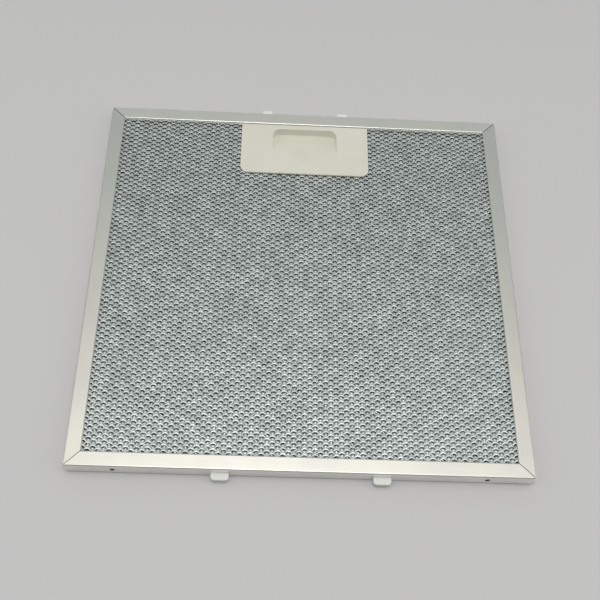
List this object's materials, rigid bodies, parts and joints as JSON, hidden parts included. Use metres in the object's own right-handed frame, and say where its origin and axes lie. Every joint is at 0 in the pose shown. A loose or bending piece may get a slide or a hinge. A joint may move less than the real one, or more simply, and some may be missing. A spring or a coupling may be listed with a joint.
{
  "type": "cooker hood grease filter",
  "caption": "Square cooker hood grease filter: folded aluminium frame round expanded metal sheets, with a recessed ivory grip, a sprung latch on one side and fixed tabs on the other.",
  "frame": {"origin": "middle of the back face, at the level of the back lip", "axes": "+Z out of the front face, +Y towards the latch tongues, +X to the right seen from the front"},
  "size_m": [0.3, 0.307, 0.01],
  "materials": {
    "satin_aluminium": "satin rolled strip",
    "mesh_aluminium": "expanded sheet, as sheared",
    "ivory_plastic": "fine matt moulding",
    "spring_steel": "drawn wire"
  },
  "bodies": {
    "filter": {"frame": "satin_aluminium", "back_mesh": "mesh_aluminium", "inner_mesh_1": "mesh_aluminium", "inner_mesh_2": "mesh_aluminium", "inner_mesh_3": "mesh_aluminium", "front_mesh": "mesh_aluminium", "grip_plate": "ivory_plastic", "grip_cover": "ivory_plastic", "latch_spring_left": "spring_steel", "latch_spring_right": "spring_steel", "hook_tab_left": "ivory_plastic", "hook_tab_right": "ivory_plastic"},
    "latch": {"latch_slider": "ivory_plastic"}
  },
  "joints": [
    {"name": "latch_slide", "type": "slide", "parent": "filter", "child": "latch", "axis": [0, -1, 0], "range_m": [0, 0.005], "stiffness_N_per_m": 900, "springref_m": -0.003, "deforming": ["latch_spring_left", "latch_spring_right"]}
  ]
}
